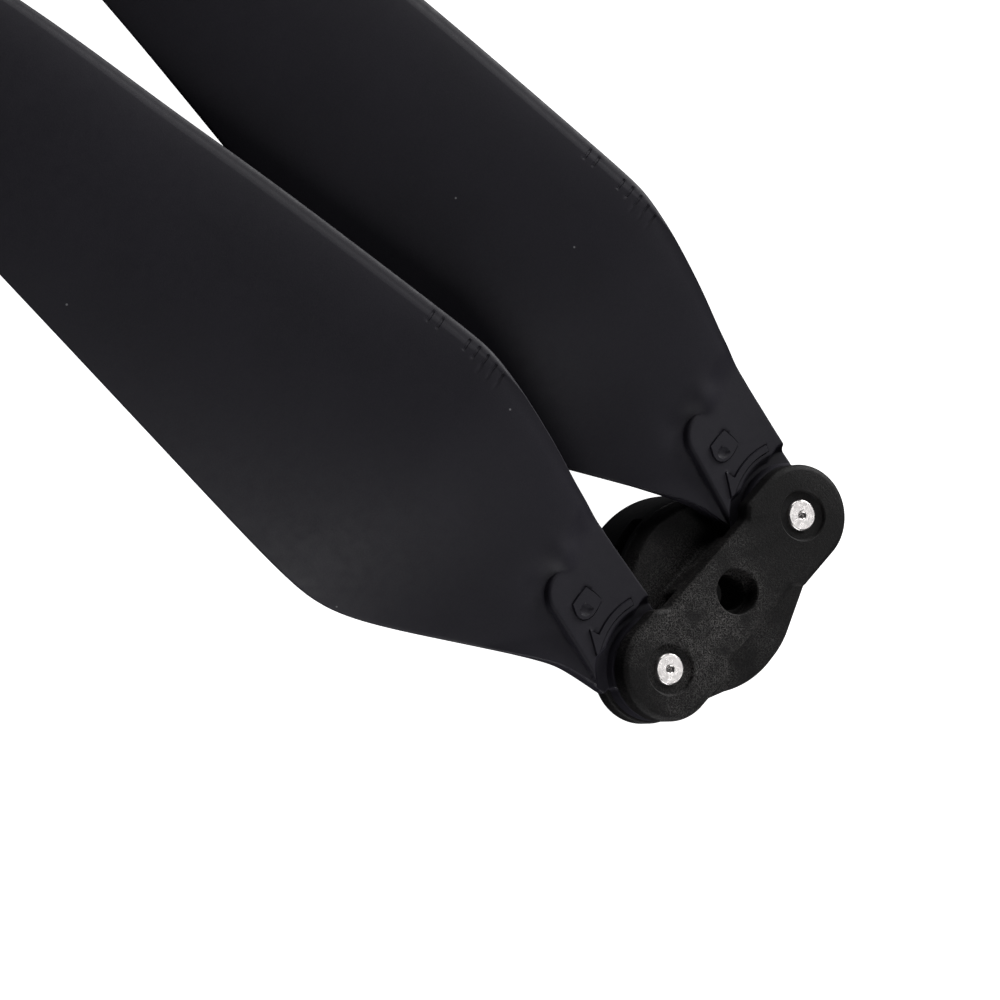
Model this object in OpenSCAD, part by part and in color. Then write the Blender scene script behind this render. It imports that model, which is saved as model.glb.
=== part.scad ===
// Folding two-blade quick-release propeller for a small camera aircraft, clockwise type.
// Z is the spin axis and points up; the underside of the fork, where the shaft hole starts, is z = 0.
// X runs through the two blade pins.  The blades are drawn folded, both towards +Y.

/* [Hub] */
// Distance between the two blade pins
pin_spacing = 17; // [14:0.1:22]
// Thickness of the upper plate of the fork
top_plate = 1.7; // [1.2:0.1:2.5]
// Height of the slot that the blade eyes turn in
slot_height = 2; // [1.6:0.1:3]
// Thickness of the lower plate of the fork
low_plate = 1.4; // [1:0.1:2.2]
// Radius of the upper plate round each pin
lobe_radius = 4.02; // [3.5:0.01:4.6]
// Radius of the lower plate round each pin
low_lobe_radius = 4.15; // [3.5:0.05:4.8]
// Half width of the narrow middle of the upper plate
neck_half = 3.3; // [2.6:0.05:3.9]
// Half length of the narrow middle of the upper plate on the folded blades' side
neck_reach = 5.4; // [4.5:0.1:6]
// Half length of the narrow middle of the upper plate on the other side
neck_back = 4.5; // [3.8:0.1:6]
// Width of the bevel round the upper plate
bevel_width = 0.3; // [0.1:0.05:0.6]
// Height of the bevel round the upper plate
bevel_height = 0.3; // [0.1:0.05:0.6]
// Half length of the block that joins the two plates
block_half = 3.3; // [2.6:0.1:3.8]
// Radius of the round disc in the lower plate, at its upper edge
disc_radius = 7.2; // [6.5:0.1:8.2]
// Radius of the same disc where it meets the locking ring
disc_foot = 7.75; // [6.8:0.05:8.6]

/* [Hub bore] */
// Radius of the open mouth of the centre hole
mouth_radius = 1.8; // [1.5:0.05:2.4]
// Depth of the open mouth of the centre hole
mouth_depth = 1.3; // [0.6:0.1:2.4]
// Radius of the hole that takes the motor shaft
shaft_radius = 1.4; // [1:0.05:1.75]

/* [Locking ring] */
// Height of the locking ring
ring_height = 6.5; // [4:0.1:8]
// Outside radius of the locking ring at its upper edge
ring_radius = 7.85; // [7.4:0.05:9]
// How much wider the locking ring is at its foot
ring_draft = 0.35; // [0:0.05:0.8]
// Wall of the locking ring
ring_wall = 1.25; // [1:0.05:1.8]
// Chamfer at the foot of the locking ring
ring_chamfer = 0.4; // [0.1:0.1:0.8]
// Depth of the spigot that centres the fork in the ring
spigot_depth = 0.8; // [0.4:0.1:1.4]
// Wall of that spigot
spigot_wall = 0.7; // [0.5:0.1:1]
// Number of bayonet claws
claw_count = 3; // [2:1:4]
// Angle that one claw covers
claw_angle = 42; // [20:1:60]
// Radius left free inside the claws
claw_radius = 5.7; // [5:0.1:6.2]
// Height of a claw
claw_height = 1.2; // [0.8:0.1:1.8]
// Direction of the first claw from the +X axis
claw_turn = 101; // [60:1:120]
// Angle of the window in the ring above each claw
window_angle = 30; // [10:1:50]
// Distance of the windows from the upper edge of the ring
window_top = 0.5; // [0.3:0.1:2]
// Height of the windows
window_height = 1.6; // [0.6:0.1:3]

/* [Pins and washers] */
// Radius of a blade pin
pin_radius = 1.25; // [1:0.01:1.6]
// How far a pin stands below the upper face
pin_drop = 0.1; // [0:0.05:0.3]
// Chamfer on both ends of a pin
pin_chamfer = 0.12; // [0.05:0.01:0.3]
// Radius of the centre mark in the top of a pin
dimple_radius = 0.34; // [0.2:0.02:0.6]
// Depth of the floor of the lower pin hole above the ring
pin_floor = 0.4; // [0.3:0.1:0.8]
// Radius of the shallow recess round each pin
recess_radius = 1.98; // [1.6:0.02:2.4]
// Depth of the shallow recess round each pin
recess_depth = 0.3; // [0.1:0.05:0.6]
// Outside radius of a washer
washer_radius = 3.1; // [2.4:0.1:3.6]
// Thickness of a washer
washer_thick = 0.12; // [0.1:0.01:0.2]
// Gap between a washer and the blade eye
eye_gap = 0.1; // [0.04:0.01:0.2]
// Radial running clearance of the blade on its pin
pin_clear = 0.04; // [0.01:0.01:0.1]

/* [Blade] */
// Diameter of the circle swept by the blade tips
sweep_diameter = 211; // [180:1:240]
// Distance flown in one turn without slip
pitch = 78.7; // [60:0.1:100]
// Radius of the blade eye
eye_radius = 3.97; // [3.5:0.01:4.4]
// Width of the leading side at the root
lead_root = 4.05; // [3:0.05:4.5]
// How far the leading edge is drawn in beside the pad
lead_waist = 0.34; // [0:0.02:0.6]
// Widening of the leading side per millimetre of span
lead_flare = 0.24; // [0.15:0.005:0.5]
// Width of the leading side at full chord
lead_full = 9.65; // [8:0.05:12]
// Narrowing of the leading side per millimetre of span
lead_taper = 0.0355; // [0:0.0005:0.08]
// Width of the trailing side at the root
trail_root = 4.33; // [3:0.05:5]
// Widening of the trailing side per millimetre of span
trail_flare = 0.5; // [0.3:0.01:0.6]
// Width of the trailing side at full chord
trail_full = 12.9; // [10:0.05:15]
// Narrowing of the trailing side per millimetre of span
trail_taper = 0.104; // [0.08:0.001:0.16]
// Distance from the pin to the widest chord
full_at = 27; // [22:0.5:34]
// Sweep of the tip towards the trailing side
tip_rake = 2.6; // [0:0.1:5]
// Length of the rounded tip
tip_length = 11; // [6:0.5:16]
// Thickness of the blade at the root
root_thick = 1.7; // [1.2:0.05:2.2]
// Thickness of the blade near the tip
tip_thick = 0.75; // [0.5:0.05:1.2]
// Span over which the flat root turns into the twisted blade
twist_in = 21; // [8:0.5:26]
// Rise of the twist axis above the middle of the blade eye
blade_lift = 0.5; // [0:0.05:1]
// Radius where the flat pad on the root starts to rise
pad_start = 5; // [4.8:0.1:5.6]
// Height of the flat pad above the blade eye
pad_rise = 0.5; // [0.2:0.05:0.7]
// Distance from the pin to the centre of the rounded pad end
pad_length = 9.1; // [7:0.1:11]
// Radius of the rounded pad end
pad_tip = 1.55; // [1:0.05:2.4]

/* [Folded position] */
// Angle of the left blade from the +X axis
left_angle = 97.2; // [94:0.1:100]
// Angle of the right blade from the +X axis
right_angle = 94.4; // [92:0.1:95]

/* [Hidden] */

$fn = 96;
eps = 0.01;
half = pin_spacing / 2;
slot_floor = low_plate;
slot_top = slot_floor + slot_height;
hub_height = slot_top + top_plate;
eye_bottom = slot_floor + washer_thick + eye_gap;
eye_top = slot_top - washer_thick - eye_gap;
blade_mid = (eye_bottom + eye_top) / 2;
pad_top = eye_top + pad_rise;
blade_length = sweep_diameter / 2 - half;
ring_bore = ring_radius - ring_wall;
spigot_radius = ring_bore - 0.02;
pin_top = hub_height - pin_drop;
pin_bottom = pin_floor;
disc_corner = disc_radius * 0.47;
disc_side = disc_radius * 0.882;
stations = 28;
tip_stations = 8;
root_start = 2.4;
flare_start = 3.6;
facets = 9;

plastic = [0.09, 0.09, 0.1];
smooth_plastic = [0.05, 0.05, 0.06];
blade_plastic = [0.13, 0.13, 0.15];
steel = [0.78, 0.77, 0.75];
washer_colour = [0.85, 0.85, 0.82];

// ---- curves of the blade ----

function ramp(a, b, v) = let (u = max(0, min(1, (v - a) / (b - a)))) u * u * (3 - 2 * u);

// The smaller and the larger of two values, with the corner between them rounded
function soft_min(a, b, k) = (a + b - sqrt(pow(a - b, 2) + k * k)) / 2;
function soft_max(a, b, k) = (a + b + sqrt(pow(a - b, 2) + k * k)) / 2;

function bump(y, at, reach) = exp(-pow((y - at) / reach, 2));

// 1 along the blade, falling to 0 round the tip
function tip_round(y) = let (u = max(0, (y - blade_length + tip_length) / tip_length))
    sqrt(max(0.012, 1 - pow(u, 2.6)));

function rake(y) = tip_rake * pow(max(0, y / blade_length - 0.62) / 0.38, 2);

function lead_outer(y) = let (s = y - full_at)
    lead_full - lead_taper * s - 0.0007 * s * s;

function lead_drawn_in(y) = lead_waist * bump(y, 6.3, 6) - 0.15 * bump(y, 7.6, 4)
    + 0.09 * bump(y, 14.8, 2.2) + 0.15 * bump(y, 58, 8);

function lead_x(y) = soft_min(lead_root + lead_flare * (y - flare_start), lead_outer(y), 0.4)
    * tip_round(y) - rake(y) - lead_drawn_in(y);

function trail_outer(y) = let (s = y - full_at + 2)
    trail_full - trail_taper * s - 0.0001 * s * s;

function trail_inner(y) = soft_max(trail_root + 0.1 * (y - root_start),
    trail_root + 0.05 + trail_flare * (y - 6), 0.5);

function trail_x(y) = -soft_min(trail_inner(y), trail_outer(y), 2.4) * tip_round(y) - rake(y);

// Blade angle of a constant-pitch screw, faded in from the flat root
function blade_angle(y) = atan(pitch / (2 * PI * (y + half))) * ramp(5, 5 + twist_in, y);

function thickness(y) = tip_thick + (root_thick - tip_thick)
    * pow(max(0, 1 - y / blade_length), 1.25);

// Height of the twist axis
function axis_height(y) = blade_mid + blade_lift * ramp(5, 16, y);

function camber(y) = 0.035 * ramp(10, 26, y);

// Half thickness at fraction c of the chord, as a share of the full thickness
function swell(c, y) = let (flat = 1 - ramp(5, 16, y))
    max(0.5 * flat * (c > 0 && c < 1 ? 1 : 0.55),
        (c <= 0 ? 0.1 : c >= 1 ? 0.13 : 0.5 * pow(sin(180 * pow(c, 0.62)), 0.62) + 0.07));

// One point of a section: c is the place along the chord, side is +1 above and -1 below
function skin(y, c, side) = let (
    a = blade_angle(y), lead = lead_x(y), trail = trail_x(y),
    x = lead + (trail - lead) * c,
    rise = camber(y) * (lead - trail) * 4 * c * (1 - c),
    z = rise + side * thickness(y) * swell(c, y))
    [x - z * sin(a) * 0.5, y, axis_height(y) + x * tan(a) + z];

// Stations are close together at the root and round the tip
function station(i) = let (
    u = i / (stations - tip_stations - 1), v = (i + 1 - stations) / tip_stations + 1,
    from = blade_length - tip_length)
    u <= 1 ? root_start + (from - root_start) * (0.45 * u + 0.55 * u * u)
           : from + tip_length * sin(90 * v);

function chord_place(j) = (1 - cos(180 * j / facets)) / 2;

function section(y) = concat(
    [for (j = [0:facets]) skin(y, chord_place(j), 1)],
    [for (j = [0:facets]) skin(y, chord_place(facets - j), -1)]);

module blade_skin() {
    count = 2 * (facets + 1);
    points = [for (i = [0:stations - 1]) each section(station(i))];
    sides = [for (i = [0:stations - 2], j = [0:count - 1]) let (
        a = i * count + j, b = i * count + (j + 1) % count) each
        [[a, b, b + count], [a, b + count, a + count]]];
    inner = [[for (j = [0:count - 1]) count - 1 - j]];
    outer = [[for (j = [0:count - 1]) (stations - 1) * count + j]];
    polyhedron(points = points, faces = concat(sides, inner, outer), convexity = 4);
}

// ---- blade root ----

// Egg shape made by the eye circle, the pad end circle and their common tangents
module egg(inset) {
    root = eye_radius - inset;
    tip = pad_tip - inset;
    slope = asin((root - tip) / pad_length);
    circle(r = root);
    translate([0, pad_length]) circle(r = tip);
    polygon([[root * cos(slope), root * sin(slope)],
             [tip * cos(slope), pad_length + tip * sin(slope)],
             [-tip * cos(slope), pad_length + tip * sin(slope)],
             [-root * cos(slope), root * sin(slope)]]);
}

// The blade alone, pin at the origin, tip towards +Y, leading edge on the +X side
module blade() {
    difference() {
        union() {
            blade_skin();
            translate([0, 0, eye_bottom]) cylinder(r = eye_radius, h = eye_top - eye_bottom);
            intersection() {
                translate([0, 0, eye_bottom]) linear_extrude(eye_top - eye_bottom) egg(0);
                translate([-9, 0, 0]) cube([18, root_start + 2, hub_height]);
            }
            translate([0, 0, blade_mid]) linear_extrude(pad_top - 0.3 - blade_mid) egg(0);
            translate([0, 0, blade_mid]) linear_extrude(pad_top - blade_mid) egg(0.3);
        }
        // the pad falls away to the eye round the pin
        translate([0, 0, eye_top]) cylinder(r1 = pad_start, r2 = pad_start + 0.9,
            h = pad_rise + 0.4);
        translate([0, 0, eye_bottom - 2]) cylinder(r = pad_start, h = 2);
        translate([0, 0, eye_bottom - 2]) cylinder(r = pin_radius + pin_clear, h = 8);
    }
}

module blade_left() {
    color(blade_plastic) translate([-half, 0, 0]) rotate([0, 0, left_angle - 90]) blade();
}

module blade_right() {
    color(blade_plastic) translate([half, 0, 0]) rotate([0, 0, right_angle - 90]) blade();
}

// ---- fork of the hub ----

// Bar along X with both upper edges bevelled
module bevelled_bar(from, to, side, turn) {
    low = slot_top;
    translate([from, 0, 0]) rotate([90, 0, 90]) linear_extrude(to - from) polygon([
        [0, low], [turn * side, low], [turn * side, hub_height - bevel_height],
        [turn * (side - bevel_width), hub_height], [0, hub_height]]);
}

module upper_lobe() {
    translate([0, 0, slot_top]) cylinder(r = lobe_radius, h = top_plate - bevel_height);
    translate([0, 0, hub_height - bevel_height])
        cylinder(r1 = lobe_radius, r2 = lobe_radius - bevel_width, h = bevel_height);
}

module upper_plate() {
    for (s = [-1, 1]) translate([s * half, 0, 0]) upper_lobe();
    for (turn = [-1, 1]) {
        reach = turn > 0 ? neck_reach : neck_back;
        bevelled_bar(-half, -reach, lobe_radius, turn);
        bevelled_bar(-reach, reach, neck_half, turn);
        bevelled_bar(reach, half, lobe_radius, turn);
    }
}

module lower_outline() {
    circle(r = disc_radius);
    for (s = [-1, 1]) translate([s * half, 0]) circle(r = low_lobe_radius);
    polygon([[-half - 0.5, -low_lobe_radius + 0.03], [-disc_corner, -disc_side],
             [disc_corner, -disc_side], [half + 0.5, -low_lobe_radius + 0.03],
             [half + 0.5, low_lobe_radius - 0.03], [disc_corner, disc_side],
             [-disc_corner, disc_side], [-half - 0.5, low_lobe_radius - 0.03]]);
}

module spigot() {
    translate([0, 0, -spigot_depth]) difference() {
        cylinder(r = spigot_radius, h = spigot_depth + 0.2);
        translate([0, 0, -1]) cylinder(r = spigot_radius - spigot_wall, h = spigot_depth + 1);
    }
}

module hub_fork() {
    color(plastic) difference() {
        union() {
            linear_extrude(low_plate) lower_outline();
            cylinder(r1 = disc_foot, r2 = disc_radius, h = low_plate);
            spigot();
            translate([-block_half, -neck_half + 0.1, slot_floor - 0.2])
                cube([2 * block_half, 2 * neck_half - 0.2, slot_height + 0.4]);
            upper_plate();
        }
        // centre hole, wide at the top
        translate([0, 0, -3]) cylinder(r = shaft_radius, h = hub_height + 4);
        translate([0, 0, hub_height - mouth_depth]) cylinder(r = mouth_radius, h = 3);
        for (s = [-1, 1]) translate([s * half, 0, 0]) {
            translate([0, 0, hub_height - recess_depth]) cylinder(r = recess_radius, h = 2);
            translate([0, 0, pin_bottom]) cylinder(r = pin_radius, h = hub_height);
        }
    }
}

// ---- locking ring ----

module claw() {
    rotate([0, 0, -claw_angle / 2]) rotate_extrude(angle = claw_angle)
        polygon([[claw_radius, 0.15], [claw_radius + 0.15, 0], [ring_bore + 0.2, 0],
                 [ring_bore + 0.2, claw_height + 0.5], [ring_bore, claw_height + 0.5],
                 [claw_radius, claw_height]]);
}

module window() {
    rotate([0, 0, -window_angle / 2]) rotate_extrude(angle = window_angle)
        translate([ring_bore - 1, ring_height - window_top - window_height])
        square([4, window_height]);
}

module locking_ring() {
    foot = ring_radius + ring_draft;
    color(smooth_plastic) translate([0, 0, -ring_height]) union() {
        difference() {
            rotate_extrude() polygon([[ring_bore, 0], [foot - ring_chamfer, 0],
                [foot, ring_chamfer], [ring_radius, ring_height - 0.15],
                [ring_radius - 0.15, ring_height], [ring_bore, ring_height]]);
            for (i = [0:claw_count - 1])
                rotate([0, 0, claw_turn + i * 360 / claw_count]) window();
        }
        for (i = [0:claw_count - 1])
            rotate([0, 0, claw_turn + i * 360 / claw_count]) claw();
    }
}

// ---- pins and washers ----

module pin() {
    difference() {
        union() {
            translate([0, 0, pin_bottom]) cylinder(r1 = pin_radius - pin_chamfer,
                r2 = pin_radius, h = pin_chamfer);
            translate([0, 0, pin_bottom + pin_chamfer]) cylinder(r = pin_radius,
                h = pin_top - pin_bottom - 2 * pin_chamfer);
            translate([0, 0, pin_top - pin_chamfer]) cylinder(r1 = pin_radius,
                r2 = pin_radius - pin_chamfer, h = pin_chamfer);
        }
        translate([0, 0, pin_top - dimple_radius]) cylinder(r1 = 0,
            r2 = dimple_radius + eps, h = dimple_radius + eps);
    }
}

module pin_left() {
    color(steel) translate([-half, 0, 0]) pin();
}

module pin_right() {
    color(steel) translate([half, 0, 0]) pin();
}

module washer(x, z) {
    color(washer_colour) translate([x, 0, z]) difference() {
        cylinder(r = washer_radius, h = washer_thick);
        translate([0, 0, -1]) cylinder(r = pin_radius + 0.02, h = 3);
    }
}

module washer_left_upper() {
    washer(-half, slot_top - washer_thick);
}

module washer_left_lower() {
    washer(-half, slot_floor);
}

module washer_right_upper() {
    washer(half, slot_top - washer_thick);
}

module washer_right_lower() {
    washer(half, slot_floor);
}

hub_fork();
locking_ring();
pin_left();
pin_right();
washer_left_upper();
washer_left_lower();
washer_right_upper();
washer_right_lower();
blade_left();
blade_right();
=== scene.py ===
# Folding two-blade quick-release propeller: detailed meshes, materials and a small photo studio.
# Shapes are worked out in millimetres and turned into metres when a mesh is made.
import math

import bmesh
import bpy
import numpy as np
from mathutils import Matrix, Vector
from mathutils.geometry import delaunay_2d_cdt
from mathutils.kdtree import KDTree


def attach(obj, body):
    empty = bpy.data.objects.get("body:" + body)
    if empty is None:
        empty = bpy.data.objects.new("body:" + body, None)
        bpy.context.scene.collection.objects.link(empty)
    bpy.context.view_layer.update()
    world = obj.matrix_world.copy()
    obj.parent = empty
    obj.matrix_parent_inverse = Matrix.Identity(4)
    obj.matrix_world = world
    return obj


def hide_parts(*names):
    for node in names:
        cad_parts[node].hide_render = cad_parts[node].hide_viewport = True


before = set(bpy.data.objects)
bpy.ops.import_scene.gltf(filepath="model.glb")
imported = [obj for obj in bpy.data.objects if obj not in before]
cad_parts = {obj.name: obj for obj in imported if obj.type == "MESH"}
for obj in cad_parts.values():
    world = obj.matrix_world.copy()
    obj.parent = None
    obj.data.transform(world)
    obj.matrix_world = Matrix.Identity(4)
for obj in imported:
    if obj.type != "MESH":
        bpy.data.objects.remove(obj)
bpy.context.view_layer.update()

MM = 0.001

# ---- sizes shared with the CAD model, in mm ----
PIN_R, PIN_TOP, PIN_BOTTOM, PIN_CHAMFER, DIMPLE_R = 1.25, 5.0, 0.4, 0.12, 0.34
HALF = 8.5                                  # half the distance between the pins
LOW_PLATE, SLOT_TOP, HUB_TOP = 1.4, 3.4, 5.1
LOBE_R, LOW_LOBE_R, DISC_R, DISC_FOOT = 4.02, 4.15, 7.2, 7.75
NECK_HALF, BLOCK_HALF = 3.3, 3.3
# where the neck widens into each shoulder: +X+Y, -X+Y, -X-Y, +X-Y
SHOULDERS = ((4.54, 5.77), (5.0, 6.28), (4.35, 5.3), (3.7, 4.8))
MOUTH_R, MOUTH_DEPTH, SHAFT_R = 1.8, 1.3, 1.4
RECESS_R, RECESS_DEPTH = 1.98, 0.3
SPIGOT_DEPTH, SPIGOT_WALL = 0.8, 0.7
WASHER_R, WASHER_THICK = 3.1, 0.12
RING_H, RING_R, RING_FOOT, RING_BORE = 6.5, 7.85, 8.2, 6.6
CLAW_COUNT, CLAW_ANGLE, CLAW_R, CLAW_H, CLAW_TURN = 3, 42.0, 5.7, 1.2, 101.0
WINDOW_ANGLE, WINDOW_TOP, WINDOW_H = 30.0, 0.5, 1.6
EYE_R, EYE_LOW, EYE_TOP, EYE_BORE = 3.97, 1.62, 3.18, 1.29
BLADE_MID = (EYE_LOW + EYE_TOP) / 2
PAD_TOP, PAD_ROOT, PAD_LENGTH, PAD_TIP = 3.68, 5.15, 9.5, 2.15
BLADE_LENGTH, PITCH = 97.0, 78.7
LEFT_ANGLE, RIGHT_ANGLE = 97.2, 94.4        # blade axes from +X when folded
ROOT_START, ROOT_END = 2.4, 15.0            # the root is meshed apart from the foil

# ---- sizes of the visual model only, in mm ----
EYE_STEP, EYE_STEP_IN, EYE_STEP_OUT = 0.55, 4.08, 4.3   # groove round the top of the eye
EYE_FLAT_TOP, EYE_FLAT_LOW = 4.5, 5.0       # radii up to which the eye's faces are flat
PAD_EDGE, PAD_WALL_SLOPE = 0.3, 7           # rounding of the pad's rim, and how steep its wall is
TIP_RISE, TIP_FALL = 0.30, 0.35             # swelling and hollow beside the end of the pad
SIGN_HIGH, MOAT_DEEP = 0.14, 0.09           # raised signs and the moat round them
EDGE_SHARE, EDGE_RISE = 0.72, 0.02          # upright wall round the root's outline
LEAN = 0.5                                  # how far the skin leans with the twist

# ---- studio ----
FLOOR_GAP, FLOOR_R, FLOOR_THICK = 0.02, 1500.0, 4.0     # mm
FLOOR_GLOW = 1.0
LIGHT_AIM = (0.0, 0.02, 0.0)
# name, place in metres, diameter in metres, power in watts
LIGHTS = (("side_light", (0.582, 0.0, 0.146), 0.30, 2.2),
          ("back_light", (0.376, 0.393, 0.260), 0.30, 0.76),
          ("front_light", (-0.15, -0.12, 0.14), 0.12, 0.105),
          ("rim_light", (-0.30, -0.42, 0.04), 0.30, 1.2),
          ("pin_light", (0.12, -0.09, 0.30), 0.12, 0.07))
WORLD_COLOUR, WORLD_STRENGTH = (0.9, 0.92, 1.0, 1.0), 0.012
CAMERA_RIGHT = (0.62768, -0.64875, 0.43027)
CAMERA_DOWN = (-0.69385, -0.71684, -0.06864)
CAMERA_AHEAD = (0.35297, -0.25546, -0.90009)
CAMERA_PLACE = (-0.09942, 0.08419, 0.23417)
LENS, SENSOR = 121.81, 36.0


# ---- curves of the blade ----
def ramp(a, b, v):
    """Smooth step from 0 at a to 1 at b."""
    u = np.clip((np.asarray(v, float) - a) / (b - a), 0, 1)
    return u * u * (3 - 2 * u)


def soft_min(a, b, k):
    return (a + b - np.sqrt((a - b) ** 2 + k * k)) / 2


def soft_max(a, b, k):
    return (a + b + np.sqrt((a - b) ** 2 + k * k)) / 2


def tip_round(y):
    u = np.clip((y - BLADE_LENGTH + 11) / 11, 0, 1)
    return np.sqrt(np.maximum(0.012, 1 - u ** 2.6))


def rake(y):
    return 2.6 * (np.maximum(0, y / BLADE_LENGTH - 0.62) / 0.38) ** 2


def bump(y, at, reach):
    return np.exp(-((y - at) / reach) ** 2)


def lead_x(y):
    s = y - 27
    outer = 9.65 - 0.0355 * s - 0.0007 * s * s
    waist = (0.34 * bump(y, 6.3, 6) - 0.15 * bump(y, 7.6, 4) + 0.09 * bump(y, 14.8, 2.2)
             + 0.15 * bump(y, 58, 8))
    return soft_min(4.05 + 0.24 * (y - 3.6), outer, 0.4) * tip_round(y) - rake(y) - waist


def trail_x(y):
    s = y - 25
    outer = 12.9 - 0.104 * s - 0.0001 * s * s
    flare = soft_max(4.33 + 0.1 * (y - ROOT_START), 4.38 + 0.5 * (y - 6), 0.5)
    return -soft_min(flare, outer, 2.4) * tip_round(y) - rake(y)


def blade_angle(y):
    return np.arctan(PITCH / (2 * math.pi * (y + HALF))) * ramp(5, 26, y)


def thickness(y):
    return 0.75 + 0.95 * np.maximum(0, 1 - y / BLADE_LENGTH) ** 1.25


def mean_height(x, y):
    """Height of the middle surface of the blade."""
    lead, trail = lead_x(y), trail_x(y)
    c = np.clip((lead - x) / (lead - trail), 0, 1)
    camber = 0.035 * ramp(10, 26, y) * (lead - trail) * 4 * c * (1 - c)
    return BLADE_MID + 0.5 * ramp(5, 16, y) + x * np.tan(blade_angle(y)) + camber


def half_thick(x, y):
    """Half the thickness of the blade away from its rounded edges."""
    lead, trail = lead_x(y), trail_x(y)
    c = np.clip((lead - x) / (lead - trail), 0.03, 0.995)
    foil = 0.5 * np.sin(math.pi * c ** 0.62) ** 0.62 + 0.07
    flat = 0.5 * (1 - ramp(5, 16, y))
    return thickness(y) * soft_max(flat, foil, 0.03)


def lead_nose(y):
    """Width of the rounded nose of the leading edge."""
    return 0.16 + 0.92 * ramp(22.5, 29.5, y) - 0.45 * ramp(50, 95, y)


def edge_share(d, width, line):
    """Share of the half thickness reached at distance d inside an edge; line > 0 leaves a crease."""
    u = 1 - np.clip(d / width, 0, 1)
    return 1 - line * u - (1 - line) * (1 - np.sqrt(np.maximum(0, 1 - u * u)))


def nose(x, y, d):
    """Rounding of the side that the point is nearer to."""
    lead_side = (lead_x(y) - x) < (x - trail_x(y))
    w = np.where(lead_side, lead_nose(y), 0.16)
    line = np.where(lead_side, 0.22 * ramp(22.5, 29.5, y), 0.0)
    return edge_share(d, w, line)


def skin_shift(x, y, rise):
    """The skin leans with the twist, as the thickness stands square to the chord."""
    return x - rise * np.sin(blade_angle(y)) * LEAN


# ---- mesh helpers ----
def link_object(name, data):
    obj = bpy.data.objects.new(name, data)
    bpy.context.scene.collection.objects.link(obj)
    return obj


def make_object(name, points, faces, smooth=35.0):
    """A mesh object from points in mm; edges sharper than the angle stay sharp."""
    mesh = bpy.data.meshes.new(name)
    mesh.from_pydata((np.asarray(points, float) * MM).tolist(), [], [list(map(int, f)) for f in faces])
    mesh.validate()
    bm = bmesh.new()
    bm.from_mesh(mesh)
    bmesh.ops.recalc_face_normals(bm, faces=bm.faces)
    bm.to_mesh(mesh)
    bm.free()
    obj = link_object(name, mesh)
    shade(obj, smooth)
    return obj


def finish_piece(obj, node, body):
    """Hides the CAD part that the piece stands in for and parents the piece to the body it moves with."""
    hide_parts(node)
    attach(obj, body)
    return obj


def shade(obj, angle):
    obj.data.shade_smooth()
    obj.data.set_sharp_from_angle(angle=math.radians(angle))


def loft(rings):
    """Points and quads through rings of equal point count, with flat ends."""
    n = len(rings[0])
    points = [p for ring in rings for p in ring]
    faces = []
    for k in range(len(rings) - 1):
        for i in range(n):
            j = (i + 1) % n
            faces.append((k * n + i, k * n + j, (k + 1) * n + j, (k + 1) * n + i))
    faces.append(tuple(range(n - 1, -1, -1)))
    faces.append(tuple(range((len(rings) - 1) * n, len(rings) * n)))
    return points, faces


def turned(profile, steps=160, centre=(0.0, 0.0)):
    """Ring or disc turned about Z from (radius, height) pairs; a disc starts and ends at radius 0."""
    points, faces, rows = [], [], []
    for r, z in profile:
        if r == 0:
            rows.append([len(points)] * steps)
            points.append((centre[0], centre[1], z))
        else:
            rows.append(list(range(len(points), len(points) + steps)))
            for i in range(steps):
                a = 2 * math.pi * i / steps
                points.append((centre[0] + r * math.cos(a), centre[1] + r * math.sin(a), z))
    closed = profile[0][0] != 0
    count = len(rows) if closed else len(rows) - 1
    for k in range(count):
        low, high = rows[k], rows[(k + 1) % len(rows)]
        for i in range(steps):
            j = (i + 1) % steps
            quad = []
            for v in (low[i], low[j], high[j], high[i]):
                if v not in quad:
                    quad.append(v)
            faces.append(tuple(quad))
    return points, faces


def rounded(corners, radius, steps=5):
    """A closed profile with rounded corners, each (r, z) or (r, z, its own radius)."""
    out = []
    n = len(corners)
    for i, corner in enumerate(corners):
        r0 = corner[2] if len(corner) > 2 else radius
        p = np.array(corner[:2], float)
        a = np.array(corners[i - 1][:2], float) - p
        b = np.array(corners[(i + 1) % n][:2], float) - p
        la, lb = np.linalg.norm(a), np.linalg.norm(b)
        if r0 <= 0 or la < 1e-9 or lb < 1e-9:
            out.append(tuple(p))
            continue
        a, b = a / la, b / lb
        half = math.acos(max(-1, min(1, float(a @ b)))) / 2
        cut = min(r0 / math.tan(half), la * 0.45, lb * 0.45)
        rad = cut * math.tan(half)
        mid = (a + b) / np.linalg.norm(a + b)
        centre = p + mid * rad / math.sin(half)
        start, end = p + a * cut - centre, p + b * cut - centre
        for s in range(steps + 1):
            v = start * (1 - s / steps) + end * (s / steps)
            v = v / np.linalg.norm(v) * rad
            out.append(tuple(centre + v))
    return out


def boolean(target, tool, operation):
    """Applies an exact boolean and removes the tool."""
    mod = target.modifiers.new("cut", "BOOLEAN")
    mod.object, mod.operation, mod.solver = tool, operation, "EXACT"
    graph = bpy.context.evaluated_depsgraph_get()
    mesh = bpy.data.meshes.new_from_object(target.evaluated_get(graph))
    target.modifiers.clear()
    old = target.data
    target.data = mesh
    bpy.data.meshes.remove(old)
    bpy.data.objects.remove(tool)


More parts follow.
